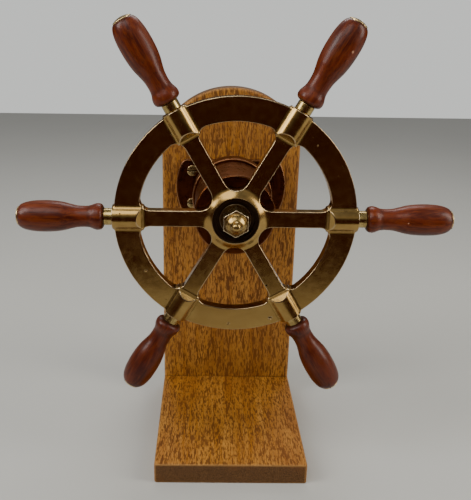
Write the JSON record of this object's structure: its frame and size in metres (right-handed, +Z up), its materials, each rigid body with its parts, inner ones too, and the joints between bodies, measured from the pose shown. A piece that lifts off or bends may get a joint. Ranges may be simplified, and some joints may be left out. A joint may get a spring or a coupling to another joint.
{
  "type": "ship steering wheel on a stand",
  "caption": "Brass ship's steering wheel with turned wooden grips, turning in a bronze bearing housing on a round-topped wooden display stand.",
  "frame": {"origin": "centre of the base board's underside, on the table", "axes": "+Z up; the wheel faces -Y, and its axis is parallel to Y; +X is to the right seen from the front"},
  "size_m": [0.4022, 0.187, 0.4365],
  "materials": {
    "oak_board": "oiled, semi-matt",
    "grip_mahogany": "varnished, glossy",
    "wheel_brass": "polished, toned dark",
    "nut_brass": "polished",
    "spindle_brass": "polished, toned",
    "screw_brass": "worn",
    "washer_brass": "machined",
    "housing_bronze": "turned, toned dark brown",
    "bush_bronze": "machined",
    "shaft_steel": "ground",
    "spring_steel": "blackened"
  },
  "bodies": {
    "stand": {"base_board": "oak_board", "upright_board": "oak_board", "base_screws": "screw_brass", "housing_base": "housing_bronze", "housing_barrel": "housing_bronze", "housing_screws": "screw_brass", "rear_bush": "bush_bronze", "front_bush": "bush_bronze"},
    "wheel": {"wheel_shaft": "shaft_steel", "shaft_circlip": "spring_steel", "rear_washer": "washer_brass", "thrust_washer": "washer_brass", "shaft_key": "shaft_steel", "wheel_casting": "wheel_brass", "hub_washer": "washer_brass", "dome_nut": "nut_brass", "spindle_right": "spindle_brass", "spindle_upper_right": "spindle_brass", "spindle_upper_left": "spindle_brass", "spindle_left": "spindle_brass", "spindle_lower_left": "spindle_brass", "spindle_lower_right": "spindle_brass", "grip_right": "grip_mahogany", "grip_upper_right": "grip_mahogany", "grip_upper_left": "grip_mahogany", "grip_left": "grip_mahogany", "grip_lower_left": "grip_mahogany", "grip_lower_right": "grip_mahogany", "cap_right": "spindle_brass", "cap_upper_right": "spindle_brass", "cap_upper_left": "spindle_brass", "cap_left": "spindle_brass", "cap_lower_left": "spindle_brass", "cap_lower_right": "spindle_brass"}
  },
  "joints": [
    {"name": "wheel_spin", "type": "hinge", "parent": "stand", "child": "wheel", "pos_m": [0, -0.0512, 0.2595], "axis": [0, -1, 0], "continuous": true}
  ]
}
